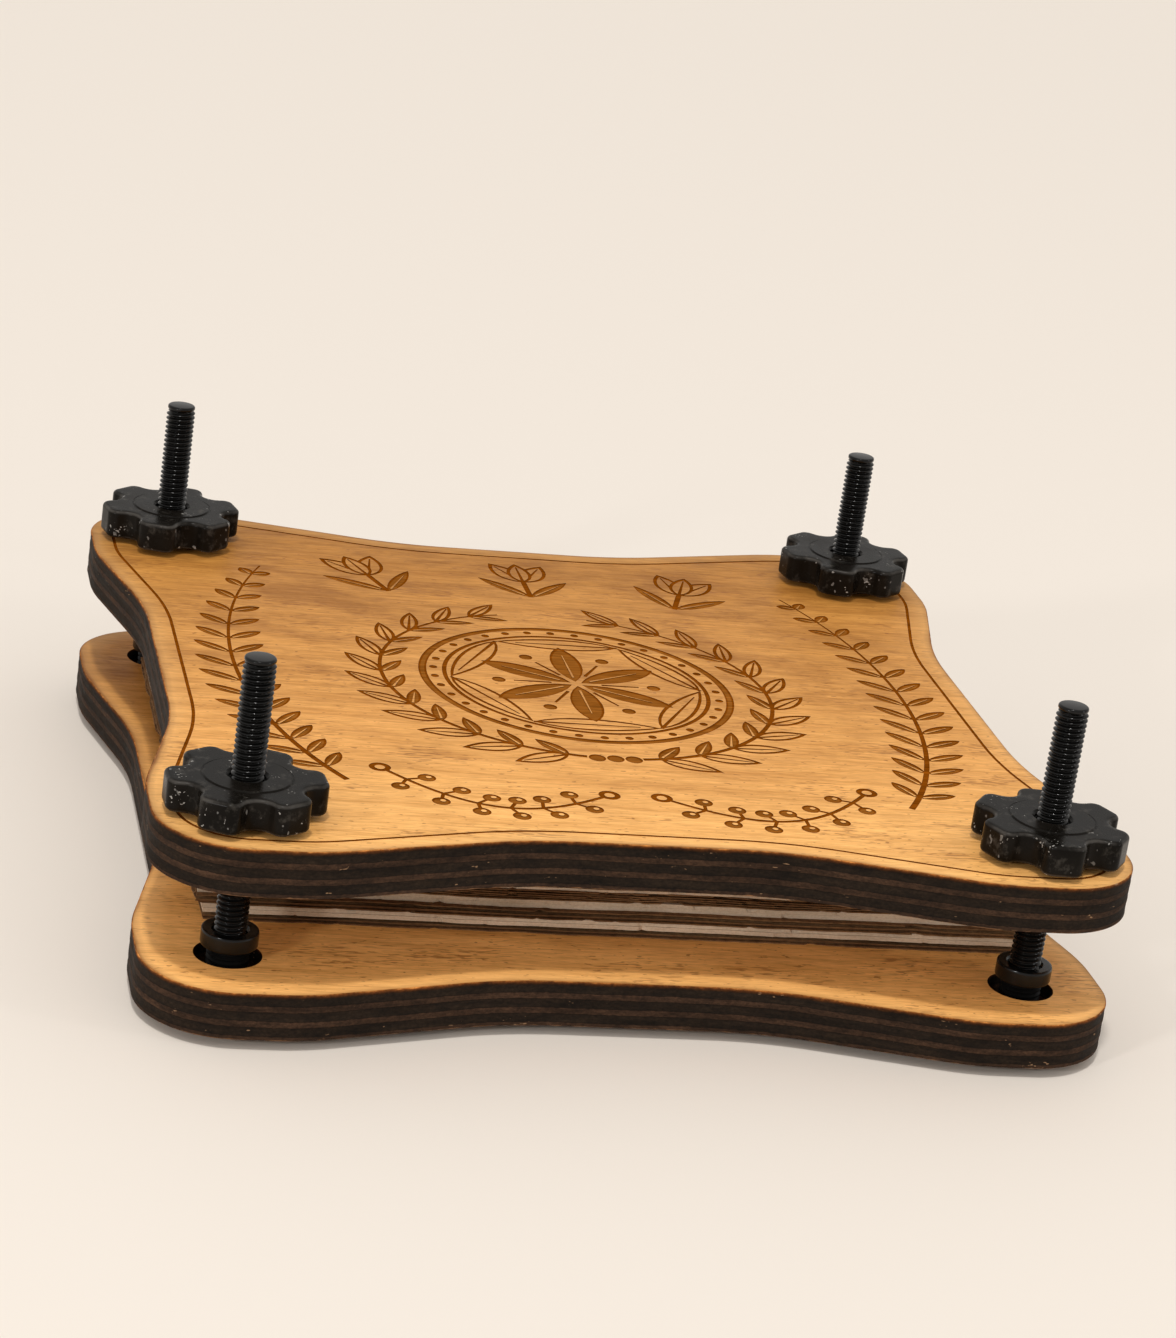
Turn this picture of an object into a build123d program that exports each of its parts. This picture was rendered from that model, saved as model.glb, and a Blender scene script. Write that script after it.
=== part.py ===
"""A flower press: two wavy-edged plywood boards, four threaded posts with star knobs, and a stack of sheets.

Millimetres. The origin is in the plane on which the bolt heads stand, midway between them. +Z is up and the
front faces -Y.
"""

from build123d import *
import os
from math import atan2, cos, radians, sin, tan

# Boards of seven-layer plywood
board_size = 183.0
board_thickness = 9.0
corner_radius = 17.0
shoulder_run = 12.0
shoulder_radius = 40.0
hollow_radius = 75.0
waist_depth_front = 10.5
waist_depth_side = 7.8
ramp_front = 38.5
ramp_side = 32.5
border_inset = 4.0
border_width = 0.6
border_depth = 0.3

# Posts: flat-headed bolts that stand up through both boards, with their heads as the feet of the press
bolt_inset = 16.5
bolt_diameter = 6.0
bolt_length = 66.0
thread_pitch = 1.0
thread_depth = 0.55
thread_end = 0.3
tip_chamfer = 0.8
head_diameter = 14.0
head_thickness = 2.0
head_chamfer = 0.4
web_clearance = 0.25
board_clearance = 0.5

# Collar nuts that lock the posts to the lower board
collar_diameter = 10.5
collar_height = 3.1
collar_rise = 2.0
collar_chamfer = 0.35
neck_wall = 0.9
pocket_diameter = 12.5
pocket_depth = 3.0

# Star knobs with a threaded bush
knob_diameter = 29.2
knob_lobes = 6
knob_height = 6.0
knob_standoff = 1.1
knob_edge = 0.8
valley_radius = 3.0
valley_reach = 11.1
lobe_rounding = 2.3
hub_diameter = 16.0
hub_step = 0.2
knob_bore_clearance = 0.4
bush_diameter = 9.0
bush_cover = 0.8
bush_fit = 0.02
thread_fit = 0.06
knob_turns = {"front_left": 3, "front_right": 24, "back_left": 12, "back_right": 8}

# Stack of corrugated cards with blotting paper between them, from the bottom up
card_thickness = 1.8
thin_card_thickness = 1.2
blotter_thickness = 1.65
leaf_thickness = 0.5
stack = [
    ("card", card_thickness),
    ("blotter", blotter_thickness),
    ("card", card_thickness),
    ("blotter", blotter_thickness),
    ("card", thin_card_thickness),
    ("card", thin_card_thickness),
    ("blotter", leaf_thickness),
    ("card", card_thickness),
    ("blotter", blotter_thickness),
    ("card", card_thickness),
    ("blotter", blotter_thickness),
    ("card", card_thickness),
]
sheet_side_margin = 12.5
sheet_post_gap = 8.75
sheet_corner = 1.5
sheet_shifts = [(0.9, 0.5), (0.6, -0.5), (-0.8, -0.4), (-0.6, 0.4), (0.3, 0.6), (-0.9, -0.2), (-0.3, -0.7)]

# Places that follow from the sizes above
half_board = board_size / 2
half_spacing = half_board - bolt_inset
bolt_radius = bolt_diameter / 2
shoulder = half_board - corner_radius - shoulder_run
lower_board_bottom = head_thickness
lower_board_top = lower_board_bottom + board_thickness
upper_board_bottom = lower_board_top + sum(thickness for kind, thickness in stack)
upper_board_top = upper_board_bottom + board_thickness
knob_bottom = upper_board_top + knob_standoff
knob_top = knob_bottom + knob_height
sheet_width = board_size - 2 * sheet_side_margin
sheet_depth = 2 * half_spacing - collar_diameter - 2 * sheet_post_gap
corners = {
    "front_left": (-half_spacing, -half_spacing),
    "front_right": (half_spacing, -half_spacing),
    "back_left": (-half_spacing, half_spacing),
    "back_right": (half_spacing, half_spacing),
}


def cylinder(radius, bottom, top):
    """A round bar on the Z axis between two heights."""
    return Pos(0, 0, bottom) * extrude(Circle(radius), top - bottom)


def at_corners(solid):
    """The same solid on each of the four post axes."""
    return [Pos(x, y, 0) * solid for x, y in corners.values()]


def board_outline():
    """A square drawn in along each side, with every corner of the line rounded."""
    share_of_run = 0.95
    points = []
    rounding = []
    for side, depth, ramp in [
        (0, waist_depth_side, ramp_side),
        (90, waist_depth_front, ramp_front),
        (180, waist_depth_side, ramp_side),
        (270, waist_depth_front, ramp_front),
    ]:
        waist = half_board - depth
        run = shoulder - ramp
        edge = [(half_board, -half_board), (half_board, -shoulder), (waist, -run), (waist, run), (half_board, shoulder)]
        points += [Vector(x, y).rotate(Axis.Z, side) for x, y in edge]
        # The hollow's rounding ends before the middle of the waist, however short the waist is.
        hollow = min(hollow_radius, share_of_run * run / tan(atan2(depth, ramp) / 2))
        rounding += [corner_radius, shoulder_radius, hollow, hollow, shoulder_radius]
    outline = make_face(Polyline(*points, close=True))
    for point, radius in zip(points, rounding):
        outline = fillet(outline.vertices().sort_by_distance(point)[0], radius)
    return outline


def lower_board():
    """The base, which lies on the bolt heads, with a pocket for each collar in its upper face."""
    board = Pos(0, 0, lower_board_bottom) * extrude(board_outline(), board_thickness)
    hole = cylinder(bolt_radius + web_clearance, lower_board_bottom, lower_board_top)
    hole += cylinder(pocket_diameter / 2, lower_board_top - pocket_depth, lower_board_top)
    return board - at_corners(hole)


def upper_board():
    """The pressing board, with an engraved line that runs round inside its edge."""
    outline = board_outline()
    board = Pos(0, 0, upper_board_bottom) * extrude(outline, board_thickness)
    hole = cylinder(bolt_radius + board_clearance, upper_board_bottom, upper_board_top)
    line = offset(outline, -border_inset) - offset(outline, -border_inset - border_width)
    groove = Pos(0, 0, upper_board_top - border_depth) * extrude(line, border_depth)
    return board - at_corners(hole) - groove


def thread_profile(radius, bottom, top):
    """Half the outline of a threaded length: a row of ridges one pitch apart, with a plain bit at the top."""
    root = radius - thread_depth
    points = [(root, bottom)]
    for ridge in range(int((top - bottom - thread_end) / thread_pitch)):
        start = bottom + ridge * thread_pitch
        points += [(radius, start + thread_pitch / 2), (root, start + thread_pitch)]
    return points + [(root, top)]


def turned(profile):
    """A solid turned about the Z axis from half its outline."""
    return revolve(Plane.XZ * make_face(Polyline(*profile, close=True)), Axis.Z)


def bolt():
    """A full-threaded bolt with a thin flat head, on which the press stands."""
    tip = head_thickness + bolt_length
    head_radius = head_diameter / 2
    profile = [(0, 0), (head_radius - head_chamfer, 0), (head_radius, head_chamfer), (head_radius, head_thickness)]
    profile += thread_profile(bolt_radius, head_thickness, tip - tip_chamfer / 2)
    profile += [(bolt_radius - thread_depth - tip_chamfer / 2, tip), (0, tip)]
    return turned(profile)


def collar_nut():
    """A round nut on a narrower threaded neck, which stands on the floor of the lower board's pocket."""
    seat = lower_board_top - pocket_depth
    rim_bottom = lower_board_top + collar_rise
    rim_top = rim_bottom + collar_height
    rim_radius = collar_diameter / 2
    bore = bolt_radius + thread_fit
    profile = [(bore, seat)] + thread_profile(bolt_radius + neck_wall, seat, rim_bottom)
    profile += [(rim_radius - collar_chamfer, rim_bottom), (rim_radius, rim_bottom + collar_chamfer)]
    profile += [(rim_radius, rim_top - collar_chamfer), (rim_radius - collar_chamfer, rim_top), (bore, rim_top)]
    return turned(profile)


def star_outline():
    """A circle with a round valley cut between each two lobes."""
    outline = Circle(knob_diameter / 2)
    for valley in range(knob_lobes):
        angle = radians((valley + 0.5) * 360 / knob_lobes)
        reach = valley_reach + valley_radius
        outline -= Pos(reach * cos(angle), reach * sin(angle)) * Circle(valley_radius)
    return fillet(outline.vertices(), lobe_rounding)


def star_knob():
    """A moulded hand knob, which stands off the board on its hub and is open to the post."""
    grip = Pos(0, 0, knob_bottom) * extrude(star_outline(), knob_height)
    flats = grip.faces().filter_by(Axis.Z)
    grip = fillet(flats.edges(), knob_edge)
    knob = grip + cylinder(hub_diameter / 2, upper_board_top, knob_top + hub_step)
    knob -= cylinder(bolt_radius + knob_bore_clearance, upper_board_top, knob_top + hub_step)
    return knob - cylinder(bush_diameter / 2 + bush_fit, upper_board_top, knob_top - bush_cover)


def knob_bush():
    """The threaded bush inside a knob, flush with the hub's underside."""
    bush_top = knob_top - bush_cover - bush_fit
    bush = cylinder(bush_diameter / 2, upper_board_top, bush_top)
    return bush - cylinder(bolt_radius + thread_fit, upper_board_top, bush_top)


def sheet(thickness, bottom, shift):
    """One flat sheet of the stack, laid a little off centre."""
    outline = RectangleRounded(sheet_width, sheet_depth, sheet_corner)
    return Pos(shift[0], shift[1], bottom) * extrude(outline, thickness)


nodes = {"lower_board": lower_board(), "upper_board": upper_board()}
for corner, (x, y) in corners.items():
    place = Pos(x, y, 0)
    nodes["bolt_" + corner] = place * bolt()
    nodes["collar_nut_" + corner] = place * collar_nut()
    nodes["star_knob_" + corner] = place * Rot(0, 0, knob_turns[corner]) * star_knob()
    nodes["knob_bush_" + corner] = place * knob_bush()
level = lower_board_top
count = {"card": 0, "blotter": 0}
for layer, (kind, thickness) in enumerate(stack):
    count[kind] += 1
    nodes[f"{kind}_{count[kind]}"] = sheet(thickness, level, sheet_shifts[layer % len(sheet_shifts)])
    level += thickness

os.makedirs("parts", exist_ok=True)
for name, solid in nodes.items():
    solid.label = name
    export_step(solid, f"parts/{name}.step")
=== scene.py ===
"""Dresses the flower press: oiled laser-cut plywood, black hardware, and a stack of card and paper."""

import math

import bmesh
import bpy
from mathutils import Matrix, Vector, kdtree, noise
from mathutils.geometry import delaunay_2d_cdt, interpolate_bezier


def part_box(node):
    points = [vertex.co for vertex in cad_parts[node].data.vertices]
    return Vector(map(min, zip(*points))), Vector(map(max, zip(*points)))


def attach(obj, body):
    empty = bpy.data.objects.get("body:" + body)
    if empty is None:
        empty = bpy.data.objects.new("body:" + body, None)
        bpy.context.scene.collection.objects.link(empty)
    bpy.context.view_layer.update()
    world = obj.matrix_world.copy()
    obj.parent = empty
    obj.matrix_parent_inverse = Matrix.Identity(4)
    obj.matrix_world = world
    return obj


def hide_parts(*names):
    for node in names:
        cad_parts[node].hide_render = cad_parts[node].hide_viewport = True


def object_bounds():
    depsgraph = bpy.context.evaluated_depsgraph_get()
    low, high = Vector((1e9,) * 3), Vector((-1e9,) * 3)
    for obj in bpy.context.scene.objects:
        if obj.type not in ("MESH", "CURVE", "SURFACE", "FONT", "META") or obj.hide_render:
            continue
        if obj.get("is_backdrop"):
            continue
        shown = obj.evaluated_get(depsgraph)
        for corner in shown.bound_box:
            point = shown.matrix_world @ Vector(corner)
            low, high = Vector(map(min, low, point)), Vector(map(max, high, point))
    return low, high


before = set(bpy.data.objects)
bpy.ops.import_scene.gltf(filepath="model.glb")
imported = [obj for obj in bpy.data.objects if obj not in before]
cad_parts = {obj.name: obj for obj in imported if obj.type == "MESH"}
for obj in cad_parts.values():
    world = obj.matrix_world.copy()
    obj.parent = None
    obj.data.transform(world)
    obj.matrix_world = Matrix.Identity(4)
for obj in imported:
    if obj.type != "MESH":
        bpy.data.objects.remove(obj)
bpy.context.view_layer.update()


# Lower board. Cut by laser from 9 mm birch plywood of seven layers, sanded and oiled. The beam leaves the
# edge charred, with the lengthwise layers a little browner, and a scorched line along the top edge. It lies
# on the flat heads of the posts.
mm = 0.001
lower_low, lower_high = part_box("lower_board")
board_thickness = lower_high.z - lower_low.z
half_board = lower_high.x
corner_radius = 17 * mm
shoulder_run = 12 * mm
shoulder = half_board - corner_radius - shoulder_run
shoulder_radius = 40 * mm
hollow_radius = 75 * mm
waist_depth_side = 7.8 * mm
waist_depth_front = 10.5 * mm
ramp_side = 32.5 * mm
ramp_front = 38.5 * mm
edge_step = 1.0 * mm
edge_break = 0.25 * mm
ply_layers = [thickness * mm for thickness in (0.85, 1.7, 1.25, 1.7, 1.25, 1.5, 0.75)]
layer_margin = 0.22 * mm
burn_back = (0.02 * mm, 0.09 * mm)
char_grit = 0.035 * mm
grit_across, grit_up = 900, 2600
rim_width = 5.5 * mm
rim_band = 6 * mm
weld_distance = 0.0005 * mm
crease_angle = math.radians(34)
post_places = {
    corner: sum(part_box("bolt_" + corner), Vector()) / 2
    for corner in ("front_left", "front_right", "back_left", "back_right")
}
web_hole_radius = 3.25 * mm
pocket_radius = 6.25 * mm
pocket_depth = 3.0 * mm
face_slot, edge_slot, underside_slot = 0, 1, 2


def rounded_line(corners, radii, step):
    """A closed line through corner points, each rounded to its own radius, with points a step apart."""
    line = []
    for index, corner in enumerate(corners):
        to_last = (corners[index - 1] - corner).normalized()
        to_next = (corners[(index + 1) % len(corners)] - corner).normalized()
        turn = math.pi - to_last.angle(to_next)
        reach = radii[index] * math.tan(turn / 2)
        centre = corner + (to_last + to_next).normalized() * radii[index] / math.cos(turn / 2)
        spoke = corner + to_last * reach - centre
        side = 1 if to_last.x * to_next.y - to_last.y * to_next.x < 0 else -1
        pieces = max(2, math.ceil(radii[index] * turn / step))
        for piece in range(pieces + 1):
            line.append(centre + Matrix.Rotation(side * turn * piece / pieces, 2) @ spoke)
    return evenly(line, step)


def evenly(line, step):
    """The same closed line with its points spaced evenly, about a step apart."""
    ends = line[1:] + line[:1]
    lengths = [(b - a).length for a, b in zip(line, ends)]
    count = round(sum(lengths) / step)
    spacing = sum(lengths) / count
    even, walked, wanted = [], 0.0, 0.0
    for a, b, length in zip(line, ends, lengths):
        while len(even) < count and wanted <= walked + length:
            even.append(a.lerp(b, (wanted - walked) / length) if length else a.copy())
            wanted += spacing
        walked += length
    return even


def inset(line, distance):
    """A closed counter-clockwise line moved inwards by a distance."""
    moved = []
    for index, point in enumerate(line):
        along = (line[(index + 1) % len(line)] - line[index - 1]).normalized()
        moved.append(point + Vector((-along.y, along.x)) * distance)
    return moved


def board_line():
    """The boards' outline: a square drawn in along each side."""
    corners, radii = [], []
    sides = [(waist_depth_side, ramp_side), (waist_depth_front, ramp_front)] * 2
    for quarter, (depth, slope) in enumerate(sides):
        waist = half_board - depth
        run = shoulder - slope
        edge = [(half_board, -half_board), (half_board, -shoulder), (waist, -run), (waist, run)]
        edge.append((half_board, shoulder))
        corners += [Matrix.Rotation(quarter * math.pi / 2, 2) @ Vector(point) for point in edge]
        radii += [corner_radius, shoulder_radius, hollow_radius, hollow_radius, shoulder_radius]
    return rounded_line(corners, radii, edge_step)


def ring(centre, radius, count=64):
    """Points of a circle, counter-clockwise."""
    angles = [2 * math.pi * index / count for index in range(count)]
    return [Vector((centre.x + radius * math.cos(a), centre.y + radius * math.sin(a))) for a in angles]


def row(mesh, line, height):
    """A row of vertices on a closed line at one height."""
    return [mesh.verts.new((point.x, point.y, height)) for point in line]


def strip(mesh, lower, upper, slot):
    """Quads between two closed rows of vertices, facing out of a counter-clockwise line."""
    for index in range(len(lower)):
        after = (index + 1) % len(lower)
        face = mesh.faces.new((lower[index], lower[after], upper[after], upper[index]))
        face.material_index = slot


def filled(loops, unit, gap):
    """Flat cells inside closed lines: their points, and each cell's corners with the lines that hold it."""
    points, faces = [], []
    for loop in loops:
        faces.append(list(range(len(points), len(points) + len(loop))))
        points += [point / unit for point in loop]
    made, _, cells, _, _, sources = delaunay_2d_cdt(points, [], faces, 0, gap)
    return [point * unit for point in made], list(zip(cells, sources))


def flat(mesh, edge, holes, height, slot, up=True):
    """A flat face inside an edge line, open at the hole lines."""
    points, cells = filled([edge] + holes, 1.0, 1e-8)
    verts = row(mesh, points, height)
    for cell, source in cells:
        if source == [0]:
            face = mesh.faces.new([verts[index] for index in (cell if up else reversed(cell))])
            face.material_index = slot


def board_edge(mesh, line, bottom, slot):
    """The charred wall of a board, where each layer burns back a little differently."""
    z = bottom
    levels = [(bottom, edge_break), (bottom + edge_break * 0.4, edge_break * 0.3)]
    for index, layer in enumerate(ply_layers):
        top = z + layer
        back = burn_back[index % 2]
        levels += [(z + layer_margin, back), ((z + top) / 2, back * 0.7), (top - layer_margin, back)]
        z = top
    levels += [(z - edge_break * 0.4, edge_break * 0.3), (z, edge_break)]
    levels.sort()
    rows = []
    for height, back in levels:
        worn = []
        for point, inner in zip(line, inset(line, 1.0)):
            grit = noise.noise((point.x * grit_across, point.y * grit_across, height * grit_up))
            worn.append(point.lerp(inner, max(back + grit * char_grit, 0.0)))
        rows.append(row(mesh, worn, height))
    for lower, upper in zip(rows, rows[1:]):
        strip(mesh, lower, upper, slot)
    return [Vector(vert.co.xy) for vert in rows[0]], [Vector(vert.co.xy) for vert in rows[-1]]


def object_from(mesh, name, materials):
    """A named object at the origin from a finished edit mesh, with doubled vertices merged."""
    bmesh.ops.remove_doubles(mesh, verts=mesh.verts, dist=weld_distance)
    data = bpy.data.meshes.new(name)
    mesh.to_mesh(data)
    mesh.free()
    for material in materials:
        data.materials.append(material)
    data.shade_smooth()
    data.set_sharp_from_angle(angle=crease_angle)
    made = bpy.data.objects.new(name, data)
    bpy.context.scene.collection.objects.link(made)
    return made


def paint_near(piece, label, points, width, from_above=False):
    """Stores how near each vertex is to some points: 1 at a point, 0 past a width."""
    tree = kdtree.KDTree(len(points))
    for index, point in enumerate(points):
        tree.insert(point, index)
    tree.balance()
    near = piece.data.attributes.new(label, "FLOAT", "POINT")
    for vertex in piece.data.vertices:
        spot = (vertex.co.x, vertex.co.y, 0) if from_above else vertex.co
        near.data[vertex.index].value = max(0.0, 1 - tree.find(spot)[2] / width)


def feed(node, inputs):
    """Sets or links a node's inputs, given by name or number."""
    for key, value in inputs.items():
        if isinstance(value, bpy.types.NodeSocket):
            node.id_data.links.new(value, node.inputs[key])
        else:
            node.inputs[key].default_value = value


def add(kind, inputs, **settings):
    """The outputs of a new node, in the tree of the sockets that are linked to its inputs."""
    sources = [value for value in inputs.values() if isinstance(value, bpy.types.NodeSocket)]
    made = sources[0].id_data.nodes.new(kind)
    for key, value in settings.items():
        setattr(made, key, value)
    feed(made, inputs)
    return made.outputs


def new_material(name):
    """An empty material, and a point on the piece in metres."""
    material = bpy.data.materials.new(name)
    material.use_nodes = True
    return material, material.node_tree.nodes.new("ShaderNodeTexCoord").outputs["Object"]


def painted(material, label):
    """The value that a piece's vertices hold under a label."""
    made = material.node_tree.nodes.new("ShaderNodeAttribute")
    made.attribute_name = label
    return made.outputs["Fac"]


def grain(place, stretch, detail=2.0, rough=0.5):
    """Noise at a point that is stretched by three factors per metre."""
    spot = add("ShaderNodeMapping", {"Vector": place, "Scale": stretch})[0]
    size = {"Vector": spot, "Scale": 1.0, "Detail": detail, "Roughness": rough}
    return add("ShaderNodeTexNoise", size)[0]


def ramp(factor, stops):
    """A colour ramp with stops of position and linear colour, or grey, in order."""
    made = add("ShaderNodeValToRGB", {"Fac": factor})[0]
    band = made.node.color_ramp.elements
    band[0].position = stops[0][0]
    band[1].position = stops[-1][0]
    for position, _ in stops[1:-1]:
        band.new(position)
    for element, (_, colour) in zip(band, stops):
        element.color = (*colour, 1) if isinstance(colour, tuple) else (colour, colour, colour, 1)
    return made


def mixed(kind, factor, first, second):
    """Two colours mixed by a factor."""
    second = second if isinstance(second, bpy.types.NodeSocket) else (*second, 1)
    inputs = {0: factor, 6: first, 7: second}
    return add("ShaderNodeMix", inputs, data_type="RGBA", blend_type=kind)[2]


def shaded(colour, factor, stops, share=1.0):
    """A colour multiplied by a ramp, in full or for a share."""
    return mixed("MULTIPLY", share, colour, ramp(factor, stops))


def maths(kind, first, second=0.0, third=0.0):
    """One sum on numbers or sockets."""
    return add("ShaderNodeMath", {0: first, 1: second, 2: third}, operation=kind)[0]


def plus(first, second):
    """The sum of two numbers or sockets."""
    return maths("ADD", first, second)


def minus(first, second):
    """What is left of one number or socket without another."""
    return maths("SUBTRACT", first, second)


def times(first, second):
    """The product of two numbers or sockets."""
    return maths("MULTIPLY", first, second)


def between(value, low, high):
    """How far a value lies from a low one to a high one, from 0 to 1."""
    return add("ShaderNodeMapRange", {"Value": value, "From Min": low, "From Max": high})[0]


def surface(material, colour, rough, shine, relief, strength, depth):
    """The material, given its colour, roughness, specular level, and bumps of a strength and a depth."""
    bump = add("ShaderNodeBump", {"Height": relief, "Strength": strength, "Distance": depth})[0]
    ends = {"Base Color": colour, "Roughness": rough, "Specular IOR Level": shine, "Normal": bump}
    feed(material.node_tree.nodes["Principled BSDF"], ends)
    return material


def oiled_birch(name, shift):
    """Honey-coloured birch face: grain along X, dark pores, a scorched rim, and a tone that deepens towards
    the back, partly its own and partly painted shade.
    """
    lit_front_honey, honey = (0.96, 0.503, 0.155), (0.81, 0.395, 0.109)
    amber, tan = (0.68, 0.318, 0.079), (0.465, 0.197, 0.034)
    pore_brown, fleck_brown = (0.28, 0.098, 0.02), (0.3, 0.108, 0.022)
    rim_gold, scorch_brown = (0.93, 0.55, 0.215), (0.2, 0.066, 0.012)
    plain = (1.0, 1.0, 1.0)
    material, place = new_material(name)
    spot = add("ShaderNodeMapping", {"Vector": place, "Location": shift})[0]
    clouds = grain(spot, (14, 34, 40), 4, 0.55)
    blotches = grain(spot, (42, 80, 40), 5, 0.66)
    figure = grain(spot, (20, 240, 60), 4, 0.6)
    fibre = grain(spot, (75, 1050, 400), 4, 0.7)
    hair = grain(spot, (260, 3000, 900), 2, 0.6)
    pores = grain(spot, (380, 2100, 500), 1, 0.4)
    thicket = grain(spot, (40, 110, 60), 2, 0.5)
    flecks = grain(spot, (620, 1500, 500), 1, 0.4)
    rim = painted(material, "rim")

    across = add("ShaderNodeSeparateXYZ", {"Vector": place})["Y"]
    # Painted shade: the face is lightest at the front and darker towards the back, partly the wood's own
    # tone and partly shade painted in for light that falls off away from the front. The blotches grow
    # stronger along with it.
    drift = maths("MULTIPLY_ADD", clouds, 40 * mm, minus(across, 20 * mm))
    back_shade_and_tone = between(drift, -half_board, half_board)
    colour = ramp(back_shade_and_tone, [(0.12, lit_front_honey), (0.29, honey), (0.5, amber), (0.95, tan)])
    back_blotch_share = ramp(back_shade_and_tone, [(0.2, 0.3), (0.6, 1.0)])
    stops = [(0.34, (0.72, 0.66, 0.58)), (0.5, plain), (0.66, (1.13, 1.14, 1.17))]
    colour = shaded(colour, blotches, stops, back_blotch_share)
    stops = [(0.3, (0.82, 0.76, 0.66)), (0.52, plain), (0.75, (1.1, 1.1, 1.08))]
    colour = shaded(colour, figure, stops, 0.7)
    stops = [(0.28, (0.76, 0.7, 0.6)), (0.5, plain), (0.72, (1.09, 1.1, 1.12))]
    colour = shaded(colour, fibre, stops)
    colour = shaded(colour, hair, [(0.32, (0.84, 0.81, 0.76)), (0.68, (1.12, 1.13, 1.15))])
    dashes = times(ramp(times(pores, thicket), [(0.352, 0.0), (0.415, 1.0)]), 0.6)
    colour = mixed("MIX", dashes, colour, pore_brown)
    colour = mixed("MIX", ramp(flecks, [(0.7, 0.0), (0.745, 0.7)]), colour, fleck_brown)
    colour = mixed("MIX", times(rim, 0.35), colour, rim_gold)
    heat = maths("MULTIPLY_ADD", minus(clouds, 0.5), 0.5, rim)
    scorch = ramp(heat, [(0.7, 0.0), (0.87, 0.28), (0.99, 0.9)])
    colour = mixed("MIX", scorch, colour, scorch_brown)
    sheen = ramp(fibre, [(0.3, 0.58), (0.7, 0.44)])
    relief = minus(fibre, dashes)
    return surface(material, colour, sheen, 0.13, relief, 0.2, 0.08 * mm)


def smoked_and_shaded_birch(name, deep, pale):
    """The unsanded underside of a board, browned by the smoke of the cutting beam and darkened further as
    painted shade under and between the boards.
    """
    material, place = new_material(name)
    clouds = grain(place, (30, 50, 40), 4, 0.6)
    fibre = grain(place, (75, 1050, 400), 4, 0.7)
    colour = ramp(clouds, [(0.3, deep), (0.7, pale)])
    colour = shaded(colour, fibre, [(0.3, 0.75), (0.7, 1.2)])
    return surface(material, colour, 0.8, 0.15, fibre, 0.25, 0.08 * mm)


def charred_ply(name, bottom):
    """The laser-cut edge: charcoal, browner lengthwise layers, a scorched top line and a chipped foot."""
    black, brown, glue = (0.0155, 0.0098, 0.0062), (0.038, 0.0202, 0.0118), (0.006, 0.0034, 0.002)
    bare_wood, chip_wood = (0.3, 0.175, 0.095), (0.2, 0.1, 0.048)
    material, place = new_material(name)
    height = add("ShaderNodeSeparateXYZ", {"Vector": place})["Z"]
    sway = minus(grain(place, (60, 60, 25), 3), 0.5)
    fray = minus(grain(place, (700, 700, 500), 2), 0.5)
    wander = maths("MULTIPLY_ADD", sway, 0.45 * mm, times(fray, 0.35 * mm))
    share = between(plus(height, wander), bottom, bottom + board_thickness)
    glue_share = 0.012
    stops, level = [], 0.0
    for index, layer in enumerate(ply_layers[:-1]):
        tone = black if index % 2 else brown
        end = level + layer / sum(ply_layers)
        stops += [(level, glue), (level + glue_share, tone), (end - glue_share, tone)]
        level = end
    stops += [(level + 0.005, (0.022, 0.0095, 0.004)), (0.95, (0.05, 0.017, 0.0045))]
    stops += [(0.975, (0.11, 0.034, 0.007)), (0.99, (0.2, 0.062, 0.012)), (0.998, (0.45, 0.18, 0.044))]
    colour = ramp(share, stops)
    patches = grain(place, (55, 55, 420), 3, 0.6)
    colour = shaded(colour, patches, [(0.36, 0.68), (0.64, 1.14)])
    crumbs = grain(place, (1300, 1300, 2100), 3, 0.65)
    colour = shaded(colour, crumbs, [(0.3, 0.62), (0.7, 1.4)])
    foot = ramp(share, [(0.02, 1.0), (0.05, 0.0)])
    chipped = times(grain(place, (260, 260, 0), 3, 0.6), foot)
    colour = mixed("MIX", ramp(chipped, [(0.42, 0.0), (0.6, 0.85)]), colour, chip_wood)
    soot = grain(place, (240, 240, 900), 5, 0.7)
    colour = shaded(colour, soot, [(0.3, 0.5), (0.7, 1.6)])
    specks = grain(place, (900, 900, 2400), 1)
    nicks = times(specks, grain(place, (130, 130, 500), 2))
    colour = mixed("MIX", ramp(nicks, [(0.45, 0.0), (0.5, 0.8)]), colour, bare_wood)
    rough = ramp(soot, [(0.35, 0.62), (0.65, 0.88)])
    return surface(material, colour, rough, 0.1, soot, 0.5, 0.12 * mm)


outline = board_line()
outline_points = [(point.x, point.y, 0) for point in outline]
lower_face = oiled_birch("birch face lower", (0.31, 0.17, 0.0))
lower_char = charred_ply("charred edge lower", lower_low.z)
# Painted shade: the lower board's underside is made very dark so that the gap between it and the floor reads
# dark.
lower_underside = smoked_and_shaded_birch("smoked and shaded underside lower", (0.075, 0.046, 0.026), (0.16, 0.102, 0.06))
mesh = bmesh.new()
foot_line, rim_line = board_edge(mesh, outline, lower_low.z, edge_slot)
pockets = [ring(place, pocket_radius) for place in post_places.values()]
web_holes = [ring(place, web_hole_radius) for place in post_places.values()]
pocket_floor = lower_high.z - pocket_depth
rim_inner = inset(rim_line, rim_band)
flat(mesh, rim_line, [rim_inner], lower_high.z, face_slot)
flat(mesh, rim_inner, pockets, lower_high.z, face_slot)
flat(mesh, foot_line, web_holes, lower_low.z, underside_slot, up=False)
for pocket, hole in zip(pockets, web_holes):
    strip(mesh, row(mesh, pocket, lower_high.z), row(mesh, pocket, pocket_floor), edge_slot)
    flat(mesh, pocket, [hole], pocket_floor, edge_slot)
    strip(mesh, row(mesh, hole, pocket_floor), row(mesh, hole, lower_low.z), edge_slot)
lower_board = object_from(mesh, "lower_board_dressed", [lower_face, lower_char, lower_underside])
paint_near(lower_board, "rim", outline_points, rim_width, from_above=True)
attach(lower_board, "base")
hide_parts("lower_board")


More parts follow.
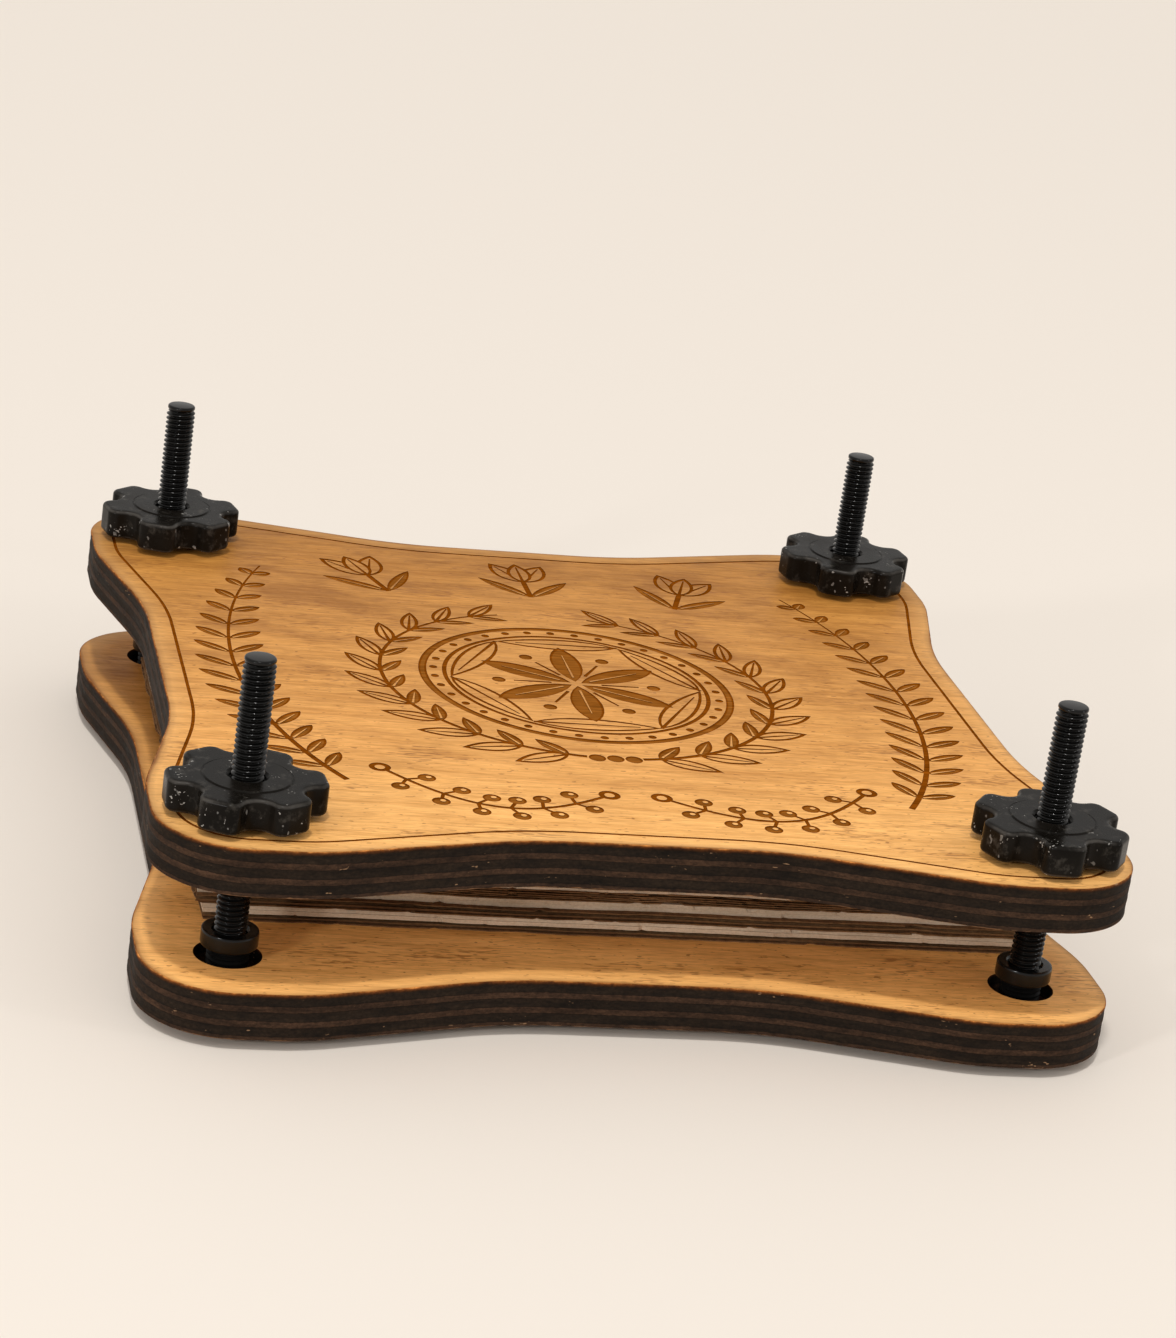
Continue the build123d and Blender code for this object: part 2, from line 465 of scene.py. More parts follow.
# Posts. Black-oxide M6 bolts, threaded all the way from a thin flat head to a chamfered tip. They come up
# through the lower board from below, and the press stands on their heads.
bolt_low, bolt_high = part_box("bolt_front_left")
bolt_radius = 3.0 * mm
thread_depth = 0.56 * mm
thread_pitch = 1.0 * mm
tip_band = 1.0 * mm
tip_radius = bolt_radius - 0.6 * mm
tip_form = ((0.24 * mm, 0.2), (0.14 * mm, 0.35), (0.14 * mm, 0.65), (0.22 * mm, 0.84), (0.38 * mm, 0.96))
head_radius = 7.0 * mm
head_bottom = bolt_low.z
head_top = lower_low.z
head_edge = 0.4 * mm
eased_form = ((1.0, 0.0), (0.3, 0.3), (0.0, 1.0))
rows_per_turn = 12
posts_around = 40


def black_oxide(name, roughness, shine):
    """Blackened steel under an uneven film of oil."""
    material, place = new_material(name)
    film = grain(place, (260, 260, 260), 4, 0.6)
    grit = grain(place, (2600, 2600, 2600), 2, 0.5)
    colour = ramp(film, [(0.3, (0.002, 0.0019, 0.0018)), (0.7, (0.0055, 0.0052, 0.0048))])
    rough = ramp(film, [(0.3, roughness), (0.7, roughness + 0.1)])
    return surface(material, colour, rough, shine, grit, 0.06, 0.03 * mm)


def new_tree(name, floats, others):
    """A geometry-nodes tree with named inputs, numbers first, and the sockets that bring them in."""
    tree = bpy.data.node_groups.new(name, "GeometryNodeTree")
    for label, kind in (dict.fromkeys(floats, "Float") | others).items():
        tree.interface.new_socket(label, in_out="INPUT", socket_type="NodeSocket" + kind)
    tree.interface.new_socket("Geometry", in_out="OUTPUT", socket_type="NodeSocketGeometry")
    return tree, tree.nodes.new("NodeGroupInput").outputs


def end_tree(geometry, material):
    """Ends a tree with its instances made real and its material set."""
    real = add("GeometryNodeRealizeInstances", {"Geometry": geometry})[0]
    finished = add("GeometryNodeSetMaterial", {"Geometry": real, "Material": material})[0]
    add("NodeGroupOutput", {0: finished})


def grid(width, depth, columns, rows):
    """A flat grid of vertices about the origin."""
    size = {"Size X": width, "Size Y": depth, "Vertices X": columns, "Vertices Y": rows}
    return add("GeometryNodeMeshGrid", size)[0]


def thread_tree():
    """Geometry nodes for one screw thread: a tube whose radius rises and falls along a helix."""
    others = {"Turns": "Int", "Rows": "Int", "Around": "Int", "Place": "Vector", "Material": "Material"}
    tree, size = new_tree("screw thread", ("Radius", "Depth", "Pitch", "Bottom", "Top"), others)
    along = maths("MULTIPLY_ADD", size["Turns"], size["Rows"], 1.0)
    sheet = grid(1.0, 1.0, plus(size["Around"], 1.0), along)
    spot = add("ShaderNodeSeparateXYZ", {0: tree.nodes.new("GeometryNodeInputPosition").outputs[0]})
    turn = plus(spot["X"], 0.5)
    climb = times(plus(spot["Y"], 0.5), size["Turns"])
    started = minus(plus(climb, turn), 1.0)
    rise = maths("MULTIPLY_ADD", started, size["Pitch"], size["Bottom"])
    height = maths("MINIMUM", maths("MAXIMUM", rise, size["Bottom"]), size["Top"])
    phase = maths("ABSOLUTE", minus(maths("FRACT", climb), 0.5))
    ridge = maths("COSINE", times(phase, 2 * math.pi))
    cut = times(minus(ridge, 1.0), times(size["Depth"], 0.5))
    root = minus(size["Radius"], size["Depth"])
    run_out = plus(root, minus(size["Top"], height))
    radius = maths("MINIMUM", plus(size["Radius"], cut), run_out)
    angle = times(turn, 2 * math.pi)
    x = times(radius, maths("COSINE", angle))
    y = times(radius, maths("SINE", angle))
    point = add("ShaderNodeCombineXYZ", {"X": x, "Y": y, "Z": height})[0]
    tube = add("GeometryNodeSetPosition", {"Geometry": sheet, "Position": point})[0]
    closed = add("GeometryNodeMergeByDistance", {"Geometry": tube, "Distance": 0.004 * mm})[0]
    smooth = add("GeometryNodeSetShadeSmooth", {"Geometry": closed})[0]
    stood = add("GeometryNodeTransform", {"Geometry": smooth, "Translation": size["Place"]})[0]
    end_tree(stood, size["Material"])
    return tree


def grown(tree, name, values):
    """A plain mesh object made by a geometry-nodes tree with its named inputs set."""
    seed_mesh = bpy.data.meshes.new(name + "_seed")
    made = bpy.data.objects.new(name, seed_mesh)
    bpy.context.scene.collection.objects.link(made)
    modifier = made.modifiers.new("grow", "NODES")
    modifier.node_group = tree
    for item in tree.interface.items_tree:
        if item.in_out == "INPUT" and item.name in values:
            modifier[item.identifier] = values[item.name]
    bpy.context.view_layer.update()
    evaluated = made.evaluated_get(bpy.context.evaluated_depsgraph_get())
    plain = bpy.data.meshes.new_from_object(evaluated)
    made.modifiers.remove(modifier)
    made.data = plain
    bpy.data.meshes.remove(seed_mesh)
    return made


def lathe(mesh, centre, profile, slot=0, count=64):
    """A turned form: rings at each radius and height of a profile, joined on the outside."""
    rings = [row(mesh, ring(centre, radius, count), height) for radius, height in profile]
    for lower, upper in zip(rings, rings[1:]):
        strip(mesh, lower, upper, slot)


post_steel = black_oxide("black oxide post", 0.1, 0.23)
thread = thread_tree()
thread_root = bolt_radius - thread_depth
thread_top = bolt_high.z - tip_band
thread_size = {
    "Radius": bolt_radius, "Depth": thread_depth, "Pitch": thread_pitch,
    "Bottom": head_top, "Top": thread_top, "Turns": round((thread_top - head_top) / thread_pitch) + 1,
    "Rows": rows_per_turn, "Around": posts_around, "Material": post_steel,
}
head = [(head_radius - head_edge * back, head_bottom + head_edge * rise) for back, rise in eased_form]
head += [(head_radius, head_top), (thread_root, head_top)]
tip = [(bolt_radius - back, thread_top + tip_band * share) for back, share in tip_form]
tip = [(thread_root, thread_top)] + tip + [(tip_radius, bolt_high.z)]
for corner, place in post_places.items():
    post = grown(thread, "post_" + corner, thread_size | {"Place": (place.x, place.y, 0.0)})
    mesh = bmesh.new()
    mesh.from_mesh(post.data)
    lathe(mesh, place, head, count=posts_around)
    flat(mesh, ring(place, head_radius - head_edge, posts_around), [], head_bottom, 0, up=False)
    lathe(mesh, place, tip, count=posts_around)
    flat(mesh, ring(place, tip_radius, posts_around), [], bolt_high.z, 0)
    bpy.data.objects.remove(post)
    post = object_from(mesh, "post_" + corner, [post_steel])
    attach(post, "base")
    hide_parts("bolt_" + corner)


# Collar nuts. Round black nuts on a narrower threaded neck, run down each post until the neck stands on the
# floor of the lower board's pocket, which locks the post upright.
collar_low, collar_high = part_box("collar_nut_front_left")
collar_radius = (collar_high.x - collar_low.x) / 2
collar_rise = 2.0 * mm
collar_rim_bottom = lower_high.z + collar_rise
collar_bore = bolt_radius + 0.02 * mm
collar_edge = 0.35 * mm
collar_sink = 0.5 * mm
collar_sink_edge = 0.1 * mm
neck_radius = 3.9 * mm
neck_root = neck_radius - thread_depth
neck_ridges = 4
neck_form = ((neck_radius, 0.4), (neck_radius, 0.6), (neck_root, 1.0))
collar_steel = black_oxide("black oxide collar", 0.16, 0.24)
neck_steel = black_oxide("black oxide neck", 0.5, 0.08)

neck = [(collar_bore, collar_low.z), (neck_root, collar_low.z)]
for ridge in range(neck_ridges):
    neck += [(radius, collar_low.z + (ridge + share) * thread_pitch) for radius, share in neck_form]
neck.append((neck_root, collar_rim_bottom))
# A ring close to each eased edge keeps the wall and the top flat in their shading.
rim_form = [(back * collar_edge, rise * collar_edge) for back, rise in eased_form + ((0.0, 1.5),)]
rim = [(neck_root, collar_rim_bottom)]
rim += [(collar_radius - back, collar_rim_bottom + rise) for back, rise in rim_form]
rim += [(collar_radius - back, collar_high.z - rise) for back, rise in reversed(rim_form)]
rim += [
    (collar_radius - collar_edge * 1.5, collar_high.z),
    (collar_bore + collar_sink + collar_sink_edge, collar_high.z),
    (collar_bore + collar_sink, collar_high.z),
    (collar_bore, collar_high.z - collar_sink), (collar_bore, collar_low.z),
]
for corner, place in post_places.items():
    mesh = bmesh.new()
    lathe(mesh, place, neck, slot=1)
    lathe(mesh, place, rim)
    collar = object_from(mesh, "collar_" + corner, [collar_steel, neck_steel])
    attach(collar, "base")
    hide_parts("collar_nut_" + corner)


# Cards. Brown corrugated card of small flute, cut by hand to lie between the posts: two liners with a waved
# paper glued between them, its flutes running from left to right.
card_count = 7
card_liner = 0.24 * mm
card_ragged = 1.3 * mm
flute_pitch = 3.3 * mm
flute_wall = 0.2 * mm
liner_grid = (200, 40)
flute_grid = (24, 371)
sheet_sag = 1.4 * mm
stack_bottom = lower_high.z
stack_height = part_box("upper_board")[0].z - lower_high.z


def upward(distance):
    """A vector straight up."""
    return add("ShaderNodeCombineXYZ", {"Z": distance})[0]


def vectors(kind, first, second=(0.0, 0.0, 0.0), scale=1.0):
    """One sum on vectors or sockets."""
    return add("ShaderNodeVectorMath", {0: first, 1: second, 3: scale}, operation=kind)[0]


def seeded_noise(spot, seed, scale, detail, rough=0.5):
    """The outputs of noise at a point, which differs from seed to seed."""
    size = {"Vector": spot, "W": seed, "Scale": scale, "Detail": detail, "Roughness": rough}
    return add("ShaderNodeTexNoise", size, noise_dimensions="4D")


def stack_warp():
    """A node group that bends the stack's layers together, and not at all where they meet the boards."""
    tree, given = new_tree("stack warp", ("Sag", "Ragged", "Seed"), {"Geometry": "Geometry"})
    spot = tree.nodes.new("GeometryNodeInputPosition").outputs[0]
    height = add("ShaderNodeSeparateXYZ", {0: spot})["Z"]
    level = maths("DIVIDE", minus(height, stack_bottom), stack_height)
    freedom = maths("SINE", times(level, math.pi))
    swell = add("ShaderNodeTexNoise", {"Vector": spot, "Scale": 26.0, "Detail": 1.0})[0]
    dip = times(minus(swell, 0.5), times(freedom, given["Sag"]))
    fray = seeded_noise(spot, given["Seed"], 130.0, 3.0, 0.6)["Color"]
    tear = vectors("SUBTRACT", fray, (0.5, 0.5, 0.5))
    reach = add("ShaderNodeCombineXYZ", {"X": given["Ragged"], "Y": given["Ragged"]})[0]
    move = vectors("ADD", vectors("MULTIPLY", tear, reach), upward(dip))
    bites = seeded_noise(spot, given["Seed"], 300.0, 2.0)[0]
    notch = between(bites, 0.6, 0.68)
    inward = vectors("NORMALIZE", vectors("MULTIPLY", spot, (-1.0, -1.0, 0.0)))
    bite = times(notch, times(given["Ragged"], 0.7))
    move = vectors("ADD", move, vectors("SCALE", inward, scale=bite))
    bent = add("GeometryNodeSetPosition", {"Geometry": given["Geometry"], "Offset": move})[0]
    add("NodeGroupOutput", {0: bent})
    return tree


def joined(*parts):
    """Several geometries as one."""
    made = parts[0].id_data.nodes.new("GeometryNodeJoinGeometry")
    for part in parts:
        part.id_data.links.new(part, made.inputs[0])
    return made.outputs[0]


def thick_sheet(sheet, thickness):
    """Nodes that turn an open sheet into a closed one of a given thickness, upwards from the sheet."""
    lift = {"Mesh": sheet, "Offset": upward(thickness), "Offset Scale": 1.0, "Individual": False}
    raised = add("GeometryNodeExtrudeMesh", lift, mode="FACES")["Mesh"]
    both = joined(raised, add("GeometryNodeFlipFaces", {"Mesh": sheet})[0])
    return add("GeometryNodeMergeByDistance", {"Geometry": both, "Distance": 0.002 * mm})[0]


def end_sheet(warp, geometry, size):
    """Lays a sheet in its place in the stack, bends it with the rest and ends its tree."""
    laid = add("GeometryNodeTransform", {"Geometry": geometry, "Translation": size["Place"]})[0]
    inputs = {"Geometry": laid, "Sag": size["Sag"], "Ragged": size["Ragged"], "Seed": size["Seed"]}
    bent = add("GeometryNodeGroup", inputs, node_tree=warp)[0]
    end_tree(bent, size["Material"])


def card_tree(warp):
    """Geometry nodes for one corrugated card: two flat liners and a waved sheet between them."""
    floats = ("Width", "Depth", "Thickness", "Liner", "Flute Pitch", "Flute Wall", "Sag", "Ragged", "Seed")
    tree, size = new_tree("corrugated card", floats, {"Place": "Vector", "Material": "Material"})
    liner = thick_sheet(grid(size["Width"], size["Depth"], *liner_grid), size["Liner"])
    lifted = upward(minus(size["Thickness"], size["Liner"]))
    upper = add("GeometryNodeTransform", {"Geometry": liner, "Translation": lifted})[0]
    across = add("ShaderNodeSeparateXYZ", {0: tree.nodes.new("GeometryNodeInputPosition").outputs[0]})["Y"]
    angle = times(maths("DIVIDE", across, size["Flute Pitch"]), 2 * math.pi)
    inner = minus(size["Thickness"], times(size["Liner"], 2.0))
    swing = times(minus(inner, size["Flute Wall"]), 0.5)
    crest = times(plus(maths("SINE", angle), 1.0), swing)
    lift = upward(plus(crest, size["Liner"]))
    wave = grid(size["Width"], size["Depth"], *flute_grid)
    waved = add("GeometryNodeSetPosition", {"Geometry": wave, "Offset": lift})[0]
    waved = thick_sheet(waved, size["Flute Wall"])
    end_sheet(warp, joined(liner, upper, waved), size)
    return tree


def kraft_card(name):
    """Uncoated brown card: fine fibre, darker damp patches and a soft matt surface."""
    material, place = new_material(name)
    fibre = grain(place, (900, 420, 1800), 4, 0.65)
    patches = grain(place, (40, 40, 160), 3, 0.55)
    colour = ramp(patches, [(0.3, (0.11, 0.052, 0.02)), (0.7, (0.225, 0.122, 0.054))])
    stops = [(0.3, (0.6, 0.56, 0.52)), (0.55, (1.0, 1.0, 1.0)), (0.75, (1.3, 1.28, 1.25))]
    colour = shaded(colour, fibre, stops)
    return surface(material, colour, 0.9, 0.2, fibre, 0.4, 0.08 * mm)


def stack_sheet(tree, node, values, recess=0.0):
    """One sheet of the stack, grown in the place of its node and drawn in a little at the front and back."""
    low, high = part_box(node)
    size = {"Width": high.x - low.x, "Depth": high.y - low.y - 2 * recess, "Thickness": high.z - low.z}
    size["Place"] = ((low.x + high.x) / 2, (low.y + high.y) / 2, low.z)
    return grown(tree, node + "_dressed", size | values)


warp = stack_warp()
card = card_tree(warp)
card_size = {
    "Liner": card_liner, "Flute Pitch": flute_pitch, "Flute Wall": flute_wall, "Sag": sheet_sag,
    "Ragged": card_ragged, "Material": kraft_card("brown card"),
}
for number in range(1, card_count + 1):
    made = stack_sheet(card, f"card_{number}", card_size | {"Seed": number * 3.7})
    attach(made, "base")
    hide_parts(f"card_{number}")


# Blotters. One or two leaves of cream blotting paper between the cards, cut roughly to the same size, which
# take up the moisture of what is pressed.
blotter_count = 5
blotter_recess = 0.6 * mm
blotter_ragged = 1.0 * mm
leaf_thickness = 0.8 * mm
leaf_slip = 0.25 * mm
leaf_share = 0.97
leaf_grid = (200, 44)
first_blotter_seed = 20


def blotter_tree(warp):
    """Geometry nodes for one blotter: a pile of leaves, each a little out of line with the next."""
    floats = ("Width", "Depth", "Thickness", "Slip", "Sag", "Ragged")
    others = {"Leaves": "Int", "Seed": "Int", "Place": "Vector", "Material": "Material"}
    tree, size = new_tree("blotter", floats, others)
    pitch = maths("DIVIDE", size["Thickness"], size["Leaves"])
    leaf = grid(size["Width"], size["Depth"], *leaf_grid)
    leaf = thick_sheet(leaf, times(pitch, leaf_share))
    line = {"Count": size["Leaves"], "Offset": upward(pitch)}
    pile = add("GeometryNodeMeshLine", line, mode="OFFSET")[0]
    least = vectors("SCALE", (-1.0, -1.0, 0.0), scale=size["Slip"])
    most = vectors("SCALE", (1.0, 1.0, 0.0), scale=size["Slip"])
    ends = {0: least, 1: most, "Seed": size["Seed"]}
    slip = add("FunctionNodeRandomValue", ends, data_type="FLOAT_VECTOR")[0]
    pile = add("GeometryNodeSetPosition", {"Geometry": pile, "Offset": slip})[0]
    leaves = add("GeometryNodeInstanceOnPoints", {"Points": pile, "Instance": leaf})[0]
    single = add("GeometryNodeRealizeInstances", {"Geometry": leaves})[0]
    end_sheet(warp, single, size)
    return tree


def blotting_paper(name):
    """Soft cream paper with a fuzzy cut edge and faint fibres."""
    material, place = new_material(name)
    fibre = grain(place, (1600, 1600, 2600), 4, 0.7)
    patches = grain(place, (60, 60, 240), 3, 0.55)
    colour = ramp(patches, [(0.3, (0.52, 0.414, 0.302)), (0.7, (0.71, 0.577, 0.436))])
    colour = shaded(colour, fibre, [(0.3, (0.82, 0.78, 0.74)), (0.6, (1.0, 1.0, 1.0))])
    return surface(material, colour, 0.95, 0.15, fibre, 0.35, 0.06 * mm)


blotter = blotter_tree(warp)
blotter_size = {
    "Slip": leaf_slip, "Sag": sheet_sag, "Ragged": blotter_ragged,
    "Material": blotting_paper("blotting paper"),
}
for number in range(1, blotter_count + 1):
    low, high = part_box(f"blotter_{number}")
    leaves = max(1, round((high.z - low.z) / leaf_thickness))
    values = blotter_size | {"Leaves": leaves, "Seed": number + first_blotter_seed}
    made = stack_sheet(blotter, f"blotter_{number}", values, blotter_recess)
    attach(made, "base")
    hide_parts(f"blotter_{number}")


# Upper board. The same laser-cut plywood, with loose holes for the posts. The laser also engraved its face,
# to a shallow toasted floor: a plain line inside the edge, and a symmetrical pattern round a rosette.
upper_low, upper_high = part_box("upper_board")
post_hole_radius = 3.5 * mm
border_inset = 4.0 * mm
border_width = 0.65 * mm
engraving_depth = 0.12 * mm
pen = 0.8 * mm
outline_width = 0.42 * mm
rim_contours = (0.5 * mm, 1.2 * mm, 2.4 * mm)


def stroke(path, width, thinning=0.0):
    """The outline of a drawn line, which may thin out towards its end."""
    left, right = [], []
    for index, point in enumerate(path):
        along = (path[min(index + 1, len(path) - 1)] - path[max(index - 1, 0)]).normalized()
        half = width / 2 * (1 - thinning * index / (len(path) - 1))
        across = Vector((-along.y, along.x)) * half
        left.append(point + across)
        right.append(point - across)
    return right + left[::-1]


def polar(radius, degrees):
    """A point at a distance and an angle from the middle of the board."""
    angle = math.radians(degrees)
    return Vector((radius * math.cos(angle), radius * math.sin(angle)))


def turned(direction, degrees):
    """A direction turned to the left."""
    return Matrix.Rotation(math.radians(degrees), 2) @ direction


def petal(base, tip, width, fullest):
    """A pointed oval from a base to a tip, fullest at a share of its length."""
    along = tip - base
    across = Vector((-along.y, along.x)).normalized() * width * 0.72
    near, far = base + along * fullest * 0.8, base + along * (0.4 + fullest)
    right = interpolate_bezier(base, near - across, far - across * 0.75, tip, 10)
    left = interpolate_bezier(tip, far + across * 0.75, near + across, base, 10)
    return right[:-1] + left[:-1]


def drawn_petal(base, tip, width, fullest=0.3):
    """A petal in outline with a rib: shapes, and what each leaves, which is a cut line, a fill or face."""
    along = (tip - base).normalized()
    inner = petal(base + along * pen * 1.1, tip - along * pen * 1.8, width - 2 * pen, fullest)
    rib = [base.lerp(tip, share / 6) for share in range(6)]
    return [(petal(base, tip, width, fullest), "line"), (inner, "face"), (stroke(rib, pen, 0.6), "line")]


def solid_petal(base, tip, width, fullest=0.3):
    """A petal that is cut down all over but for a fine rib, paler inside its outline."""
    along = (tip - base).normalized() * outline_width
    inner = petal(base + along, tip - along * 2, width - 2.4 * outline_width, fullest)
    rib = stroke([base.lerp(tip, 0.12 + share * 0.13) for share in range(6)], pen * 0.6, 0.7)
    return [(petal(base, tip, width, fullest), "line"), (inner, "fill"), (rib, "face")]


def solid_dot(centre, radius, count):
    """A round spot that is cut down, paler inside its outline."""
    return [(ring(centre, radius, count), "line"), (ring(centre, radius - outline_width, count), "fill")]


def rosette():
    """Two rings with a row of dots between them, round a six-petalled compass rosette."""
    outer, inner, reach = 31.0 * mm, 26.6 * mm, 25.6 * mm
    outer_half, outer_fill, inner_half = 0.8 * mm, 0.4 * mm, 0.45 * mm
    bands = [(outer + outer_half, "line"), (outer + outer_fill, "fill"), (outer - outer_fill, "line")]
    bands += [(outer - outer_half, "face"), (inner + inner_half, "line"), (inner - inner_half, "face")]
    shapes = [(ring(Vector((0, 0)), radius, 160), kind) for radius, kind in bands]
    shapes += [(ring(polar((outer + inner) / 2, 10 * dot), 0.85 * mm, 12), "line") for dot in range(36)]
    for turn in range(0, 360, 60):
        shapes += drawn_petal(polar(reach, turn), polar(reach, turn + 60), 6.6 * mm)
    for turn in range(0, 360, 60):
        shapes += solid_petal(polar(1.2 * mm, turn + 30), polar(reach * 0.8, turn + 30), 6.6 * mm, 0.42)
        shapes += solid_dot(polar(reach * 0.62, turn), 1.4 * mm, 14)
        shapes += [(stroke([polar(reach * 0.2, turn), polar(reach * 0.5, turn)], pen * 0.9, 0.3), "line")]
    return shapes


def wreath_branch(side):
    """One half of a laurel wreath, from the front of the rosette round to the back; side is 1 or -1."""
    radius, first, last = 39.5 * mm, -82, 76
    flip = Matrix(((side, 0), (0, 1)))
    stem = [flip @ polar(radius, first + (last - first) * share / 48) for share in range(49)]
    shapes = [(stroke(stem, pen * 1.4, 0.5), "line")]
    for step in range(12):
        at = first + 5 + step * 13
        size = 1 - 0.025 * step
        base = flip @ polar(radius, at)
        shapes += drawn_petal(base, flip @ polar(radius + 8.6 * mm * size, at + 12), 5.2 * mm * size)
        shapes += solid_petal(base, flip @ polar(radius - 5.0 * mm * size, at + 11.5), 3.4 * mm * size)
    return shapes


def fern(side):
    """A frond that stands along one side of the board; side is 1 for the right and -1 for the left."""
    flip = Matrix(((side, 0), (0, 1)))
    stem = interpolate_bezier(*[Vector(at) * mm for at in ((54, -57), (71, -28), (75, 20), (57, 60))], 64)
    shapes = [(stroke([flip @ point for point in stem], pen * 1.6, 0.7), "line")]
    for step in range(4, 62, 4):
        along = (stem[step + 1] - stem[step]).normalized()
        share = step / 63
        reach = (4.5 + 6.5 * math.sin(math.pi * (0.12 + 0.88 * share)) ** 0.8) * mm * (1 - 0.25 * share)
        for hand in (-1, 1):
            tip = stem[step] + turned(along, hand * 50) * reach
            shapes += solid_petal(flip @ stem[step], flip @ tip, 3.0 * mm, 0.42)
    return shapes


def tulip(base, lean, height):
    """A tulip in three petals on a stem, with a long leaf on each side."""
    up = turned(Vector((0, 1)), -lean)
    cup = base + up * height * 0.42
    shapes = [(stroke([base, base.lerp(cup, 0.5), cup], pen * 1.5), "line")]
    for hand in (-1, 1):
        shapes += solid_petal(base, base + turned(up, hand * 42) * height * 0.66, 3.4 * mm, 0.35)
    for hand in (-1, 1):
        shapes += drawn_petal(cup, cup + turned(up, hand * 27) * height * 0.58, 6.4 * mm)
    shapes += drawn_petal(cup, cup + up * height * 0.54, 5.6 * mm, 0.32)
    return shapes


def berry_swag(start, middle, end):
    """A hanging garland with pairs of berries on short stalks along it."""
    line = interpolate_bezier(start, start.lerp(middle, 0.75), end.lerp(middle, 0.75), end, 41)
    shapes = [(stroke(line, pen * 1.1), "line")]
    for step in range(4, 38, 6):
        along = (line[step + 1] - line[step]).normalized()
        for hand, reach in ((1, 4.2 * mm), (-1, 3.8 * mm)):
            berry = line[step] + turned(along, hand * 66) * reach
            shapes += [(stroke([line[step], berry], pen * 0.9), "line")] + solid_dot(berry, 1.75 * mm, 18)
            shapes += [(ring(berry + Vector((0.4, 0.4)) * mm, 0.55 * mm, 10), "face")]
    for point in (start, end):
        shapes += [(ring(point, 2.1 * mm, 18), "line"), (ring(point, 1.0 * mm, 12), "face")]
    return shapes


def engrave(mesh, edge, holes, shapes, top, depth, slots):
    """A flat face, cut down to a walled floor wherever the last shape drawn there isn't one of face."""
    points, cells = filled([edge] + holes + [line for line, _ in shapes], mm, 1e-5)
    kinds = ["face"] * (1 + len(holes)) + [kind for _, kind in shapes]
    rims = [None] * len(points)
    floors = [None] * len(points)
    kept_sides, cut_sides = set(), []
    for cell, source in cells:
        if 0 not in source or any(0 < index <= len(holes) for index in source):
            continue
        kind = kinds[max(source)]
        level, verts = (top, rims) if kind == "face" else (top - depth, floors)
        for index in cell:
            if verts[index] is None:
                verts[index] = mesh.verts.new((*points[index], level))
        face = mesh.faces.new([verts[index] for index in cell])
        face.material_index = slots[kind]
        sides = list(zip(cell, cell[1:] + cell[:1]))
        if kind == "face":
            kept_sides.update(sides)
        else:
            cut_sides += sides
    for a, b in cut_sides:
        if (b, a) in kept_sides:
            wall = mesh.faces.new((floors[b], floors[a], rims[a], rims[b]))
            wall.material_index = slots["wall"]


def toasted_wood(name, pale, deep):
    """Wood browned by the engraving beam, with its grain and the fine lines of the beam's passes along X."""
    material, place = new_material(name)
    passes = grain(place, (60, 4200, 0), 2, 0.5)
    fibre = grain(place, (75, 1050, 0), 4, 0.7)
    patches = grain(place, (90, 240, 0), 3, 0.6)
    colour = ramp(patches, [(0.3, deep), (0.7, pale)])
    colour = shaded(colour, passes, [(0.3, 0.75), (0.7, 1.15)])
    colour = shaded(colour, fibre, [(0.32, 0.68), (0.68, 1.22)])
    return surface(material, colour, 0.75, 0.0, passes, 0.3, 0.05 * mm)


pattern = rosette() + wreath_branch(1) + wreath_branch(-1) + fern(1) + fern(-1)
for offset in (-3.6, 0.0, 3.6):
    pattern += solid_dot(Vector((offset, -39.5)) * mm, 1.7 * mm, 18)
for side in (-1, 1):
    pattern += tulip(Vector((side * 31, 49)) * mm, side * 18, 23 * mm)
    pattern += berry_swag(*[Vector((side * x, y)) * mm for x, y in ((47, -50), (28, -76), (5, -58))])
pattern += tulip(Vector((0, 51)) * mm, 0, 22 * mm)

upper_finishes = [
    oiled_birch("birch face upper", (0.0, 0.0, 0.0)),
    charred_ply("charred edge upper", upper_low.z),
    toasted_wood("toasted engraving", (0.285, 0.074, 0.004), (0.185, 0.046, 0.002)),
    toasted_wood("engraving walls", (0.11, 0.029, 0.003), (0.06, 0.015, 0.002)),
    # Painted shade: the upper board's underside is darkened so that the space between the boards reads
    # darker.
    smoked_and_shaded_birch("smoked and shaded underside upper", (0.3, 0.167, 0.076), (0.47, 0.272, 0.132)),
    toasted_wood("toasted fill", (0.36, 0.125, 0.018), (0.23, 0.073, 0.008)),
]
slots = {"face": 0, "edge": 1, "line": 2, "wall": 3, "underside": 4, "fill": 5}
mesh = bmesh.new()
foot_line, rim_line = board_edge(mesh, outline, upper_low.z, slots["edge"])
post_holes = [ring(place, post_hole_radius) for place in post_places.values()]
contours = [(inset(rim_line, distance), "face") for distance in rim_contours]
border = [(inset(rim_line, border_inset), "line"), (inset(rim_line, border_inset + border_width), "face")]
engrave(mesh, rim_line, post_holes, contours + border + pattern, upper_high.z, engraving_depth, slots)
flat(mesh, foot_line, post_holes, upper_low.z, slots["underside"], up=False)
for hole in post_holes:
    strip(mesh, row(mesh, hole, upper_high.z), row(mesh, hole, upper_low.z), slots["edge"])
upper_board = object_from(mesh, "upper_board_dressed", upper_finishes)
paint_near(upper_board, "rim", outline_points, rim_width, from_above=True)
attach(upper_board, "pressing_board")
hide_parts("upper_board")
